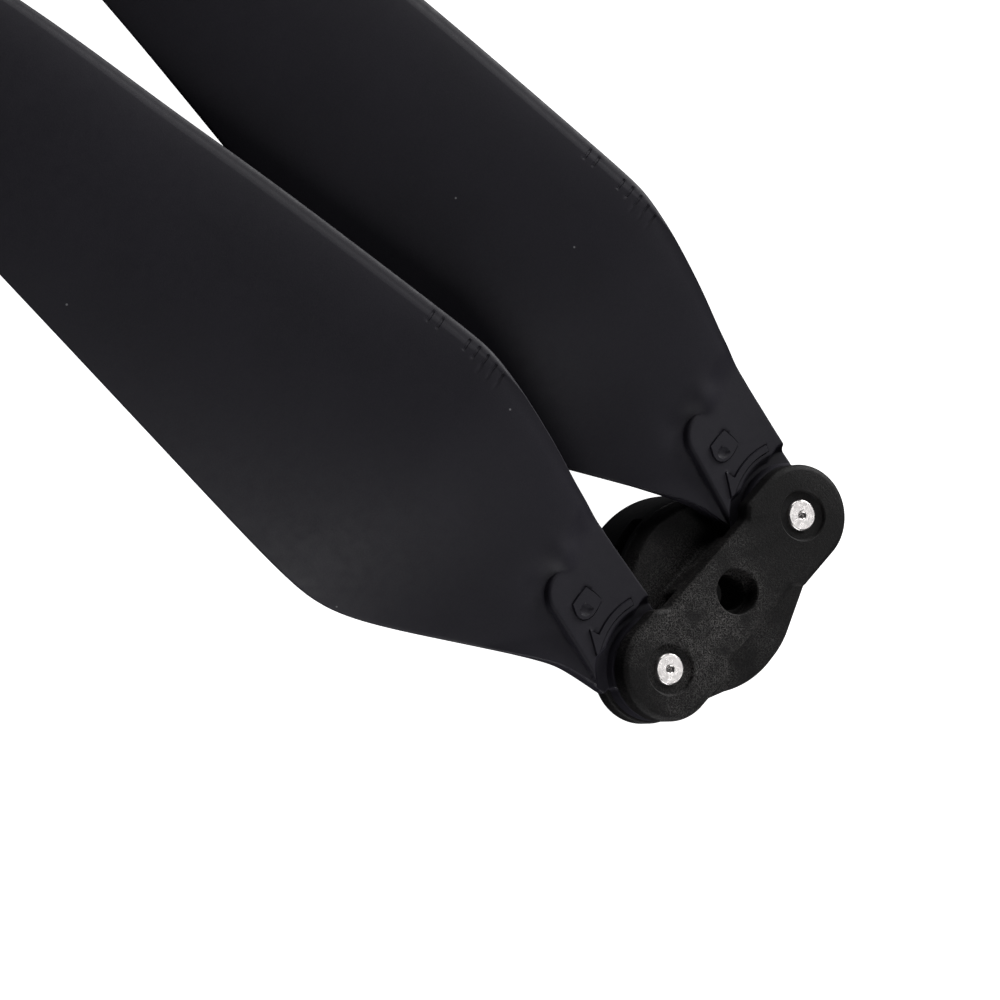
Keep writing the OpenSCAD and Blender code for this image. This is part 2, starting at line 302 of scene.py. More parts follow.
# ---- blade root: a height field on a triangulated outline ----
def root_outline():
    """Corner-rounded outline from the leading edge at ROOT_END round the eye to the trailing edge."""
    ys = np.linspace(ROOT_END, ROOT_START + 0.15, 70)
    lead = np.stack([lead_x(ys), ys], 1)
    trail = np.stack([trail_x(ys), ys], 1)[::-1]
    eye = []
    for a in np.linspace(0.5, -math.pi - 0.5, 130):
        eye.append((EYE_R * math.cos(a), EYE_R * math.sin(a)))
    eye = np.array(eye)

    def corner(p, via, q, steps=7):
        t = np.linspace(0, 1, steps + 2)[1:-1, None]
        return (1 - t) ** 2 * p + 2 * t * (1 - t) * via + t * t * q

    inner_lead = np.array([lead_x(ROOT_START) - 0.15, ROOT_START])
    inner_trail = np.array([trail_x(ROOT_START) + 0.3, ROOT_START])
    lead_corner = corner(lead[-1], np.array([lead_x(ROOT_START), ROOT_START]), inner_lead)
    trail_corner = corner(inner_trail, np.array([trail_x(ROOT_START), ROOT_START]), trail[0])
    lead_dip = corner(inner_lead, np.array([3.3, 2.38]), eye[0])
    trail_dip = corner(eye[-1], np.array([-3.4, 2.38]), inner_trail)
    return np.concatenate([lead, lead_corner, [inner_lead], lead_dip, eye, trail_dip,
                           [inner_trail], trail_corner, trail])


def line_distance(p, line):
    """Distance from each point to an open polyline."""
    best = np.full(len(p), 1e9)
    for a, b in zip(line[:-1], line[1:]):
        ab = b - a
        t = np.clip(((p - a) @ ab) / (ab @ ab), 0, 1)
        best = np.minimum(best, np.linalg.norm(p - (a + t[:, None] * ab), axis=1))
    return best


def inside(p, polygon):
    """True for each point inside a closed polygon."""
    x, y = p[:, 0], p[:, 1]
    result = np.zeros(len(p), bool)
    for (x0, y0), (x1, y1) in zip(polygon, np.roll(polygon, -1, 0)):
        crosses = (y0 > y) != (y1 > y)
        if y0 != y1:
            result ^= crosses & (x < (x1 - x0) * (y - y0) / (y1 - y0) + x0)
    return result


def inset_line(line, d):
    """An open line moved sideways by d, into the root's outline."""
    tangent = np.gradient(line, axis=0)
    tangent /= np.linalg.norm(tangent, axis=1)[:, None]
    return line + d * np.stack([tangent[:, 1], -tangent[:, 0]], 1)


def egg_depth(p):
    """Distance inside the egg of the pad: a circle round the pin, a smaller one and their tangents."""
    slope = math.asin((PAD_ROOT - PAD_TIP) / PAD_LENGTH)
    x, y = np.abs(p[:, 0]), p[:, 1]
    along = -x * math.sin(slope) + y * math.cos(slope)
    side = PAD_ROOT - (x * math.cos(slope) + y * math.sin(slope))
    low = PAD_ROOT - np.hypot(x, y)
    high = PAD_TIP - np.hypot(x, y - PAD_LENGTH)
    tangent_length = PAD_LENGTH * math.cos(slope)
    return np.where(along < 0, low, np.where(along > tangent_length, high, side))


def egg_line(inset):
    """Outline of the egg without its part near the pin, moved inwards by inset."""
    root, tip = PAD_ROOT - inset, PAD_TIP - inset
    slope = math.asin((root - tip) / PAD_LENGTH)
    low = np.array([root * math.cos(slope), root * math.sin(slope)])
    high = np.array([tip * math.cos(slope), PAD_LENGTH + tip * math.sin(slope)])
    mirror = np.array([-1, 1])
    points = [low + (high - low) * s for s in np.linspace(0.35, 1, 26)[:-1]]
    for a in np.linspace(slope, math.pi - slope, 40):
        points.append(np.array([tip * math.cos(a), PAD_LENGTH + tip * math.sin(a)]))
    points += [(low + (high - low) * s) * mirror for s in np.linspace(1, 0.35, 26)[1:]]
    return np.array(points)


def arc_points(cx, cy, r, a0, a1, n):
    a = np.radians(np.linspace(a0, a1, n))
    return np.stack([cx + r * np.cos(a), cy + r * np.sin(a)], 1)


def densify(poly, step):
    """A closed polygon with points added so that none are further apart than the step."""
    out = []
    for a, b in zip(poly, np.roll(poly, -1, 0)):
        n = max(1, int(math.ceil(np.linalg.norm(b - a) / step)))
        for i in range(n):
            out.append(a + (b - a) * i / n)
    return np.array(out)


def sign_polygons():
    """Raised signs on the pad: a padlock with a window and a curved arrow about the pin."""
    outer = np.array([[-0.72, 9.1], [-1.12, 8.45], [-1.2, 8.1], [-1.08, 7.72], [-0.75, 7.42],
                      [-0.3, 7.28], [0.2, 7.28], [0.72, 7.36], [1.07, 7.48], [1.12, 8.25],
                      [1.03, 9.03], [0.2, 9.1]])
    window = np.array([[-0.67, 8.42], [-0.92, 8.06], [-0.82, 7.72], [-0.46, 7.52], [0.14, 7.5],
                       [0.1, 8.0], [0.0, 8.5]])
    shaft_out = arc_points(0, 0, 6.06, 64, 101.5, 26)
    shaft_in = arc_points(0, 0, 5.58, 116, 64, 30)
    head = np.array([[-1.42, 6.75], [-2.56, 5.19]])
    arrow = np.concatenate([shaft_out, [[-1.28, 6.1]], head, shaft_in[2:]])
    return outer, window, arrow


def root_height(p, side, outline):
    """Height of the top (side 1) or underside (side -1) of the root at points p."""
    x, y = p[:, 0], p[:, 1]
    r = np.hypot(x, y)
    yy = np.maximum(y, ROOT_START)
    mean = mean_height(x, yy)
    full = mean + side * half_thick(x, yy)
    if side > 0:
        # on the leading side the blade runs into the pad without a border
        merge = ramp(0.6, 2.4, x) * (1 - ramp(10.2, 13.4, y))
        full = full + (PAD_TOP - full) * merge
        fade = 1 - ramp(13.3, ROOT_END, y)
        full = full + fade * TIP_RISE * np.exp(-((x - 1.9) / 1.2) ** 2 - ((y - 12.0) / 1.2) ** 2)
        full = full - fade * TIP_FALL * np.exp(-((x + 0.9) / 1.5) ** 2 - ((y - 11.7) / 1.6) ** 2)
        # elsewhere the pad has a rounded rim and a steep wall
        depth = egg_depth(np.stack([np.minimum(x, 1.2), y], 1))
        u = 1 - np.clip(depth / PAD_EDGE, 0, 1)
        rim = PAD_EDGE * (1 - np.sqrt(np.maximum(0, 1 - u * u)))
        full = soft_max(full, PAD_TOP - rim + np.minimum(0, depth) * PAD_WALL_SLOPE, 0.05)
        wall = ramp(-0.06, 0.16 + 0.9 * ramp(0, 2, x), depth)
        full = full * (1 - wall) + np.minimum(full, PAD_TOP) * wall
        # it falls to the eye, further out where the plate's shoulders pass over it
        eye = EYE_TOP - EYE_STEP * ramp(EYE_STEP_IN, EYE_STEP_OUT, r)
        turn = np.degrees(np.arctan2(y, x))
        q = r - 0.6 * np.maximum(1 - ramp(50, 64, turn), ramp(106, 119, turn))
        roll = EYE_TOP - EYE_STEP + 1.45 * ramp(4.55, 5.5, q) + 4 * np.maximum(0, q - 5.5)
        full = np.where(r < EYE_FLAT_TOP, eye, soft_min(full, roll, 0.1))
    else:
        roll = EYE_LOW - 1.2 * ramp(EYE_FLAT_LOW, 6.0, r) - 4 * np.maximum(0, r - 6)
        full = np.where(r < EYE_FLAT_LOW, EYE_LOW, np.maximum(full, roll))
    d = line_distance(p, outline)
    d = np.where(d < 1e-4, 0, d)
    wall = EDGE_SHARE * np.clip(d / EDGE_RISE, 0, 1) * (1 - ramp(10, 14, y))
    return mean + (full - mean) * np.maximum(nose(x, yy, d), wall)


def sign_height(p, signs):
    """Height of the raised signs, each with a narrow moat round it."""
    outer, window, arrow = signs
    edge = {}
    for key, poly in (("outer", outer), ("window", window), ("arrow", arrow)):
        distance = line_distance(p, np.concatenate([poly, poly[:1]]))
        edge[key] = distance * np.where(inside(p, poly), -1, 1)
    away = np.minimum(np.maximum(edge["outer"], -edge["window"]), edge["arrow"])
    share = 1 - np.clip((away - 0.01) / 0.03, 0, 1)
    moat = np.clip(1 - np.abs(away - 0.06) / 0.045, 0, 1)
    return SIGN_HIGH * share - MOAT_DEEP * moat


def root_surface(side, outline, signs):
    """Triangulated sheet of the root's top or underside: points (x, y) and triangles."""
    top_edge = np.stack([foil_columns(ROOT_END), np.full(FOIL_COLUMNS, ROOT_END)], 1)[1:-1][::-1]
    border = np.concatenate([outline, top_edge])
    n_border = len(border)
    points = [border]
    edges = [(i, (i + 1) % n_border) for i in range(n_border)]
    start = n_border

    def add(poly, closed):
        nonlocal start
        keep = inside(poly, border) & (line_distance(poly, outline) > 0.012)
        keep &= poly[:, 1] < ROOT_END - 0.02
        index = np.cumsum(keep) - 1 + start
        m = len(poly)
        for i in range(m if closed else m - 1):
            j = (i + 1) % m
            if keep[i] and keep[j]:
                edges.append((int(index[i]), int(index[j])))
        points.append(poly[keep])
        start += int(keep.sum())

    for d in (0.02, 0.05, 0.09, 0.13, 0.17, 0.3):
        add(inset_line(outline, d), False)
    bore = arc_points(0, 0, EYE_BORE, 0, 360, 73)[:-1]
    add(bore, True)
    if side > 0:
        for e in (-0.08, -0.03, 0.0, 0.03, 0.08, 0.14, 0.21, 0.3):
            add(egg_line(e), False)
        for r in np.arange(4.08, 6.2, 0.07):
            add(arc_points(0, 0, r, 20, 160, 100), False)
        for poly in signs:
            add(densify(poly, 0.12), True)
            add(densify(grow(poly, 0.05), 0.12), True)
            add(densify(grow(poly, 0.11), 0.12), True)
    else:
        for r in (4.95, 5.0, 5.1, 5.25, 5.45, 5.7, 6.0):
            add(arc_points(0, 0, r, 20, 160, 80), False)
    fixed = np.concatenate(points)
    tree = KDTree(len(fixed))
    for i, q in enumerate(fixed):
        tree.insert((q[0], q[1], 0), i)
    tree.balance()
    step = 0.25
    grid = []
    for j, y in enumerate(np.arange(-4, ROOT_END, step * 0.866)):
        for x in np.arange(-11, 9, step):
            grid.append((x + (j % 2) * step / 2, y))
    grid = np.array(grid)
    grid = grid[inside(grid, border)]
    grid = grid[np.hypot(grid[:, 0], grid[:, 1]) > EYE_BORE + 0.08]
    grid = np.array([g for g in grid if tree.find((g[0], g[1], 0))[2] > 0.09])
    flat = np.concatenate([fixed, grid])
    out = delaunay_2d_cdt([tuple(q) for q in flat], edges, [], 0, 1e-6)
    verts = np.array([(v[0], v[1]) for v in out[0]])
    tris = np.array([list(t) for t in out[2]])
    centres = verts[tris].mean(axis=1)
    ok = inside(centres, border) & (np.hypot(centres[:, 0], centres[:, 1]) > EYE_BORE * 0.999)
    return verts, tris[ok]


def grow(poly, d):
    """A closed polygon moved outwards by d."""
    nxt, prv = np.roll(poly, -1, 0), np.roll(poly, 1, 0)
    tangent = nxt - prv
    tangent /= np.linalg.norm(tangent, axis=1)[:, None]
    normal = np.stack([tangent[:, 1], -tangent[:, 0]], 1)
    area = np.sum(poly[:, 0] * nxt[:, 1] - nxt[:, 0] * poly[:, 1])
    return poly + normal * d * (1 if area > 0 else -1)


# ---- foil: a grid from the root to the tip ----
NOSE_STEPS = (0, 0.012, 0.05, 0.11, 0.2, 0.3, 0.4, 0.5, 0.6, 0.7, 0.8, 0.9, 0.96, 1.0, 1.05, 1.12, 1.2,
              1.3, 1.4, 1.45, 1.5, 1.6, 1.8)
TAIL_STEPS = (0, 0.01, 0.03, 0.06, 0.1, 0.16, 0.25, 0.4)
FOIL_COLUMNS = 80
MARK_BARS = (25.1, 26.0, 26.9, 27.8, 28.7, 31.3, 32.2)
MARK_NEAR, MARK_FAR, MARK_HALF, MARK_DEEP = 0.42, 1.5, 0.09, 0.07


def foil_columns(y):
    """Places across the chord at span y, from the trailing to the leading edge."""
    lead, trail = float(lead_x(y)), float(trail_x(y))
    scale = min(1.0, (lead - trail) / 9.0)
    w = float(lead_nose(y))
    nose_part = [lead - scale * d * w for d in NOSE_STEPS]
    tail_part = [trail + scale * d for d in TAIL_STEPS]
    n = FOIL_COLUMNS - len(nose_part) - len(tail_part)
    a, b = tail_part[-1], nose_part[-1]
    middle = [a + (b - a) * (i + 1) / (n + 1) for i in range(n)]
    return np.array(tail_part + middle + nose_part[::-1])


def foil_point(x, y, side):
    """Points of the foil's top or underside at places x, y; both sides meet on the parting line."""
    step = 0.01
    lead_slope = (lead_x(y + step) - lead_x(y - step)) / (2 * step)
    trail_slope = (trail_x(y + step) - trail_x(y - step)) / (2 * step)
    from_lead = (lead_x(y) - x) / np.hypot(1, lead_slope)
    from_trail = (x - trail_x(y)) / np.hypot(1, trail_slope)
    rise = side * half_thick(x, y) * nose(x, y, np.minimum(from_lead, from_trail))
    if side > 0:
        rise = rise - MARK_DEEP * mark_share(from_lead, y)
    return np.stack([skin_shift(x, y, rise), y, mean_height(x, y) + rise], 1)


def mark_share(d, y):
    """1 on the floor of the sunk bars of the mould mark."""
    across = np.clip((d - MARK_NEAR) / 0.06, 0, 1) * np.clip((MARK_FAR - d) / 0.06, 0, 1)
    along = np.zeros_like(y)
    for bar in MARK_BARS:
        along = np.maximum(along, np.clip((MARK_HALF + 0.04 - np.abs(y - bar)) / 0.05, 0, 1))
    return across * along


def foil_rows():
    """Places along the span, denser round each sunk bar and towards the tip."""
    rows = list(np.arange(ROOT_END, 24.0, 0.45)) + list(np.arange(24.2, 34, 0.3))
    for bar in MARK_BARS:
        rows = [r for r in rows if abs(r - bar) > 0.25]
        rows += [bar + s * MARK_HALF + t for s, t in ((-1, -0.04), (-1, 0.01), (1, -0.01), (1, 0.04))]
    rows += list(np.arange(34.4, 86, 0.9))
    rows += [BLADE_LENGTH - 11 + 11 * math.sin(math.pi / 2 * k / 26) for k in range(1, 27)]
    return np.array(sorted(rows))


def blade_points():
    """Points and faces of one blade in its own frame: pin at the origin, tip towards +Y, in mm."""
    outline = root_outline()
    signs = sign_polygons()
    points, faces, count = [], [], 0
    for side in (1, -1):
        flat, tris = root_surface(side, outline, signs)
        z = root_height(flat, side, outline)
        angle = blade_angle(np.maximum(flat[:, 1], ROOT_START))
        mean = mean_height(flat[:, 0], np.maximum(flat[:, 1], ROOT_START))
        rise = np.where(flat[:, 1] > 11, z - mean, (z - mean) * ramp(5, 11, flat[:, 1]))
        x = flat[:, 0] - rise * np.sin(angle) * LEAN
        if side > 0:
            z = z + sign_height(flat, signs)
        sheet = np.stack([x, flat[:, 1], z], 1)
        seam = flat[:, 1] > ROOT_END - 1e-3
        sheet[seam] = foil_point(flat[seam, 0], np.full(int(seam.sum()), ROOT_END), side)
        points.append(sheet)
        faces += [tuple(t + count) for t in (tris if side > 0 else tris[:, ::-1])]
        on_bore = np.where(np.abs(np.hypot(flat[:, 0], flat[:, 1]) - EYE_BORE) < 1e-3)[0]
        order = on_bore[np.argsort(np.arctan2(flat[on_bore, 1], flat[on_bore, 0]))] + count
        if side > 0:
            top_bore = order
        else:
            m = len(order)
            faces += [(top_bore[i], top_bore[(i + 1) % m], order[(i + 1) % m], order[i])
                      for i in range(m)]
        count += len(sheet)
        rows = foil_rows()
        for y in rows:
            columns = foil_columns(y)
            points.append(foil_point(columns, np.full(FOIL_COLUMNS, y), side))
        for k in range(len(rows) - 1):
            for j in range(FOIL_COLUMNS - 1):
                a = count + k * FOIL_COLUMNS + j
                faces.append((a, a + 1, a + 1 + FOIL_COLUMNS, a + FOIL_COLUMNS))
        last = count + (len(rows) - 1) * FOIL_COLUMNS
        if side > 0:
            tip = [last + j for j in range(FOIL_COLUMNS)]
        else:
            faces += [(tip[j], tip[j + 1], last + j + 1, last + j) for j in range(FOIL_COLUMNS - 1)]
        count += len(rows) * FOIL_COLUMNS
    return np.concatenate(points), faces


def make_blade(name, points, faces, x, angle, body, node):
    """One blade, welded along its seams and turned to its folded place."""
    matrix = Matrix.Translation((x * MM, 0, 0)) @ Matrix.Rotation(math.radians(angle - 90), 4, "Z")
    mesh = bpy.data.meshes.new(name)
    mesh.from_pydata((points * MM).tolist(), [], [[int(i) for i in f] for f in faces])
    bm = bmesh.new()
    bm.from_mesh(mesh)
    bmesh.ops.remove_doubles(bm, verts=bm.verts, dist=1e-6)
    bmesh.ops.dissolve_degenerate(bm, edges=bm.edges, dist=5e-7)
    bmesh.ops.recalc_face_normals(bm, faces=bm.faces)
    loose = [v for v in bm.verts if not v.link_faces]
    bmesh.ops.delete(bm, geom=loose, context="VERTS")
    bm.to_mesh(mesh)
    bm.free()
    mesh.transform(matrix)
    obj = link_object(name, mesh)
    shade(obj, 38)
    return finish_piece(obj, node, body)


# ---- hub ----
def four_quarters(a, b, c, d):
    """Closed outline from one quarter for each of +X+Y, -X+Y, -X-Y and +X-Y, all drawn in +X+Y."""
    return np.concatenate([a, (b * [-1, 1])[::-1][1:], (c * [-1, -1])[1:], (d * [1, -1])[::-1][1:-1]])


def plate_outline(inset):
    """Upper plate: two lobes, a straight shoulder beside each, and a narrower neck."""
    r, n = LOBE_R - inset, NECK_HALF - inset
    quarters = []
    for near, far in SHOULDERS:
        quarter = []
        for a in np.linspace(0, 90, 44):
            quarter.append((HALF + r * math.cos(math.radians(a)), r * math.sin(math.radians(a))))
        for x in np.linspace(HALF, far, 7)[1:]:
            quarter.append((x, r))
        for x in np.linspace(far, near, 13)[1:]:
            quarter.append((x, n + (r - n) * float(ramp(near, far, x))))
        for x in np.linspace(near, 0, 12)[1:]:
            quarter.append((x, n))
        quarters.append(np.array(quarter))
    return four_quarters(*quarters)


def base_outline(inset, z):
    """Lower plate: the round disc, the two lobes and the straight flanks between them."""
    disc = DISC_R + (DISC_FOOT - DISC_R) * (1 - z / LOW_PLATE) - inset
    lobe = LOW_LOBE_R - inset
    tangent = math.degrees(math.acos((disc - lobe) / HALF))
    quarter = []
    for a in np.linspace(0, tangent, 34):
        quarter.append((HALF + lobe * math.cos(math.radians(a)), lobe * math.sin(math.radians(a))))
    lo = np.array(quarter[-1])
    hi = np.array([disc * math.cos(math.radians(tangent)), disc * math.sin(math.radians(tangent))])
    for s in np.linspace(0, 1, 12)[1:]:
        quarter.append(tuple(lo + (hi - lo) * s))
    for a in np.linspace(tangent, 90, 14)[1:]:
        quarter.append((disc * math.cos(math.radians(a)), disc * math.sin(math.radians(a))))
    q = np.array(quarter)
    return four_quarters(q, q, q, q)


def level(outline, z):
    return [(p[0], p[1], z) for p in outline]


def box_ring(half_x, half_y, corner, z):
    """Rectangle with rounded corners at height z."""
    points = []
    for cx, cy, a0 in ((1, 1, 0), (-1, 1, 90), (-1, -1, 180), (1, -1, 270)):
        for a in np.linspace(a0, a0 + 90, 7):
            points.append((cx * (half_x - corner) + corner * math.cos(math.radians(a)),
                           cy * (half_y - corner) + corner * math.sin(math.radians(a)), z))
    return points


def make_hub():
    """Fork moulding: both plates, the block between them and the spigot, then the holes."""
    # height and inset of each level of the plates, height and swelling of each level of the block
    upper = ((SLOT_TOP, 0.1), (SLOT_TOP + 0.03, 0.03), (SLOT_TOP + 0.1, 0), (4.74, 0), (4.81, 0.02),
             (4.88, 0.08), (4.95, 0.17), (5.03, 0.29), (5.08, 0.38), (HUB_TOP, 0.47))
    lower = ((0, 0.1), (0.03, 0.03), (0.1, 0), (1.22, 0), (1.31, 0.03), (1.38, 0.1), (LOW_PLATE, 0.18))
    middle = ((1.0, 0.25), (1.4, 0.25), (1.48, 0.12), (1.62, 0.03), (1.8, 0), (3.1, 0),
              (3.25, 0.02), (3.36, 0.08), (3.7, 0.08))
    hub = make_object("hub_fork_body", *loft([level(plate_outline(d), z) for z, d in upper]))
    base = make_object("base", *loft([level(base_outline(d, z), z) for z, d in lower]))
    block = make_object("block", *loft([box_ring(BLOCK_HALF + f, NECK_HALF - 0.1 + f, 0.5 + f, z)
                                        for z, f in middle]))
    spigot_in = RING_BORE - 0.02 - SPIGOT_WALL
    spigot = make_object("spigot", *turned(rounded([
        (spigot_in, -SPIGOT_DEPTH, 0.1), (RING_BORE - 0.02, -SPIGOT_DEPTH, 0.15),
        (RING_BORE - 0.02, 0.2, 0), (spigot_in, 0.2, 0)], 0.1)))
    for tool in (base, block, spigot):
        boolean(hub, tool, "UNION")
    cuts = [turned(rounded([(0, -3, 0), (SHAFT_R, -3, 0), (SHAFT_R, HUB_TOP - MOUTH_DEPTH, 0.05),
                            (MOUTH_R, HUB_TOP - MOUTH_DEPTH, 0.08), (MOUTH_R, HUB_TOP - 0.1, 0.04),
                            (MOUTH_R + 0.1, HUB_TOP, 0.05), (MOUTH_R + 0.12, HUB_TOP + 2, 0),
                            (0, HUB_TOP + 2, 0)], 0.05), 128)]
    for s in (-1, 1):
        cuts.append(turned(rounded([(0, PIN_BOTTOM, 0), (PIN_R, PIN_BOTTOM, 0),
                                    (PIN_R, HUB_TOP - RECESS_DEPTH, 0.03),
                                    (RECESS_R - 0.02, HUB_TOP - RECESS_DEPTH, 0.1),
                                    (RECESS_R, HUB_TOP - 0.08, 0.05), (RECESS_R + 0.1, HUB_TOP, 0.05),
                                    (RECESS_R + 0.12, HUB_TOP + 1, 0), (0, HUB_TOP + 1, 0)], 0.05),
                           128, (s * HALF, 0.0)))
    for k, (points, faces) in enumerate(cuts):
        boolean(hub, make_object("cut%d" % k, points, faces), "DIFFERENCE")
    clean(hub)
    weight_normals(hub, 32)
    return finish_piece(hub, "hub_fork", "hub")


def clean(obj):
    """Welds what the booleans leave and splits their many-sided faces."""
    bm = bmesh.new()
    bm.from_mesh(obj.data)
    bmesh.ops.remove_doubles(bm, verts=bm.verts, dist=2e-7)
    bmesh.ops.dissolve_degenerate(bm, edges=bm.edges, dist=2e-7)
    bmesh.ops.triangulate(bm, faces=[f for f in bm.faces if len(f.verts) > 4])
    bmesh.ops.recalc_face_normals(bm, faces=bm.faces)
    bm.to_mesh(obj.data)
    bm.free()


def weight_normals(obj, angle):
    """Flat faces keep flat shading up to their rounded edges."""
    shade(obj, angle)
    mod = obj.modifiers.new("weighted", "WEIGHTED_NORMAL")
    mod.keep_sharp = True
    mod.weight = 90


# ---- locking ring ----
def make_ring():
    """Drum with three windows and a bayonet claw below each."""
    body = turned(rounded([
        (RING_BORE, -RING_H, 0.15), (RING_FOOT - 0.4, -RING_H, 0.2), (RING_FOOT, -RING_H + 0.4, 0.3),
        (RING_R, -0.16, 0.1), (RING_R - 0.16, 0, 0.08), (RING_BORE, 0, 0.06)], 0.1), 220)
    ring = make_object("locking_ring_body", *body)
    for k in range(CLAW_COUNT):
        turn = CLAW_TURN + k * 360 / CLAW_COUNT
        half_high, half_wide = WINDOW_H / 2, WINDOW_ANGLE / 2
        rings = []
        for r in (RING_BORE - 0.5, RING_FOOT + 0.5):
            loop = []
            for cz, ca, a0 in ((1, 1, 0), (1, -1, 90), (-1, -1, 180), (-1, 1, 270)):
                for q in np.radians(np.linspace(a0, a0 + 90, 6)):
                    a = math.radians(turn + ca * (half_wide - 2.2) + 2.2 * math.cos(q))
                    z = -WINDOW_TOP - half_high + cz * (half_high - 0.3) + 0.3 * math.sin(q)
                    loop.append((r * math.cos(a), r * math.sin(a), z))
            rings.append(loop)
        boolean(ring, make_object("window%d" % k, *loft(rings)), "DIFFERENCE")
        angles = np.radians(turn + np.linspace(-CLAW_ANGLE / 2, CLAW_ANGLE / 2, 25))
        section = rounded([(CLAW_R, 0.15, 0.06), (CLAW_R + 0.15, 0, 0.08), (RING_BORE + 0.2, 0, 0),
                           (RING_BORE + 0.2, CLAW_H + 0.5, 0), (RING_BORE, CLAW_H + 0.5, 0),
                           (CLAW_R, CLAW_H, 0.12)], 0.05)
        rings = [[(r * math.cos(a), r * math.sin(a), z - RING_H) for r, z in section] for a in angles]
        boolean(ring, make_object("claw%d" % k, *loft(rings)), "UNION")
    clean(ring)
    weight_normals(ring, 32)
    return finish_piece(ring, "locking_ring", "hub")


# ---- pins and washers ----
def make_pin(name, x, node):
    """Turned pin with a lathe-cut end face and a centre mark."""
    top = PIN_TOP
    profile = [(0, PIN_BOTTOM), (PIN_R - PIN_CHAMFER, PIN_BOTTOM), (PIN_R - 0.02, PIN_BOTTOM + 0.1),
               (PIN_R, PIN_BOTTOM + 0.16), (PIN_R, top - 0.17), (PIN_R - 0.02, top - 0.11),
               (PIN_R - 0.07, top - 0.045), (PIN_R - 0.13, top - 0.006)]
    for r in np.arange(PIN_R - 0.16, DIMPLE_R + 0.06, -0.0215):
        turn = 0.0022 * math.sin(r * 2 * math.pi / 0.083) + 0.0012 * math.sin(r * 2 * math.pi / 0.29 + 1)
        profile.append((float(r), top - 0.004 + turn))
    profile += [(DIMPLE_R + 0.04, top - 0.002), (DIMPLE_R, top - 0.02),
                (DIMPLE_R * 0.62, top - DIMPLE_R * 0.42), (DIMPLE_R * 0.55, top - DIMPLE_R * 0.62),
                (0.1, top - DIMPLE_R * 0.95), (0, top - DIMPLE_R)]
    pin = make_object(name, *turned(profile, 160), smooth=50)
    pin.location = (x * MM, 0, 0)
    return finish_piece(pin, node, "hub")


def make_washer(name, x, z, node):
    r_in, r_out, top = PIN_R + 0.02, WASHER_R, z + WASHER_THICK
    washer = make_object(name, *turned(rounded([(r_in, z, 0.02), (r_out, z, 0.03), (r_out, top, 0.03),
                                                (r_in, top, 0.02)], 0.02, 3), 96))
    washer.location = (x * MM, 0, 0)
    return finish_piece(washer, node, "hub")


# ---- materials ----
class Nodes:
    """Small helper to build one node material."""

    def __init__(self, name):
        self.material = bpy.data.materials.new(name)
        self.material.use_nodes = True
        self.tree = self.material.node_tree
        self.shader = self.tree.nodes["Principled BSDF"]
        coords = self.add("ShaderNodeTexCoord")
        scale = self.add("ShaderNodeVectorMath", operation="SCALE")
        scale.inputs["Scale"].default_value = 1 / MM
        self.link(coords.outputs["Object"], scale.inputs[0])
        self.mm = scale.outputs[0]

    def add(self, kind, **values):
        node = self.tree.nodes.new(kind)
        for key, value in values.items():
            setattr(node, key, value)
        return node

    def link(self, source, target):
        self.tree.links.new(source, target)

    def noise(self, scale, detail=2.0, rough=0.5, vector=None):
        node = self.add("ShaderNodeTexNoise")
        node.inputs["Scale"].default_value = scale
        node.inputs["Detail"].default_value = detail
        node.inputs["Roughness"].default_value = rough
        self.link(vector or self.mm, node.inputs["Vector"])
        return node.outputs["Fac"]

    def remap(self, value, low, high, to_low=0.0, to_high=1.0):
        node = self.add("ShaderNodeMapRange")
        node.inputs["From Min"].default_value = low
        node.inputs["From Max"].default_value = high
        node.inputs["To Min"].default_value = to_low
        node.inputs["To Max"].default_value = to_high
        self.link(value, node.inputs["Value"])
        return node.outputs["Result"]

    def feed(self, node, values):
        """Sets or links the node's first inputs; None leaves an input alone."""
        for slot, value in zip(node.inputs, values):
            if value is None:
                continue
            if isinstance(value, (int, float, tuple)):
                slot.default_value = value
            else:
                self.link(value, slot)

    def math(self, operation, a, b=None):
        node = self.add("ShaderNodeMath", operation=operation)
        self.feed(node, (a, b))
        return node.outputs[0]

    def vector(self, operation, a, b=None):
        """A vector operation; dot products and lengths come out as a value."""
        node = self.add("ShaderNodeVectorMath", operation=operation)
        self.feed(node, (a, b))
        return node.outputs["Value" if operation in ("DOT_PRODUCT", "LENGTH") else "Vector"]

    def mix(self, share, a, b):
        node = self.add("ShaderNodeMix", data_type="RGBA")
        self.link(share, node.inputs["Factor"])
        for slot, value in ((node.inputs[6], a), (node.inputs[7], b)):
            if isinstance(value, tuple):
                slot.default_value = value + (1.0,)
            else:
                self.link(value, slot)
        return node.outputs[2]

    def stretched(self, stretch):
        """Coordinates scaled along each axis, for marks that run one way."""
        node = self.add("ShaderNodeMapping")
        node.inputs["Scale"].default_value = stretch
        self.link(self.mm, node.inputs["Vector"])
        return node.outputs[0]

    def bump(self, height, distance, strength=1.0, normal=None):
        node = self.add("ShaderNodeBump")
        node.inputs["Distance"].default_value = distance * MM
        node.inputs["Strength"].default_value = strength
        self.link(height, node.inputs["Height"])
        if normal is not None:
            self.link(normal, node.inputs["Normal"])
        return node.outputs["Normal"]

    def finish(self, colour=None, roughness=None, normal=None, **values):
        for key, value in values.items():
            self.shader.inputs[key].default_value = value
        for key, value in (("Base Color", colour), ("Roughness", roughness), ("Normal", normal)):
            if value is not None:
                self.link(value, self.shader.inputs[key])
        return self.material


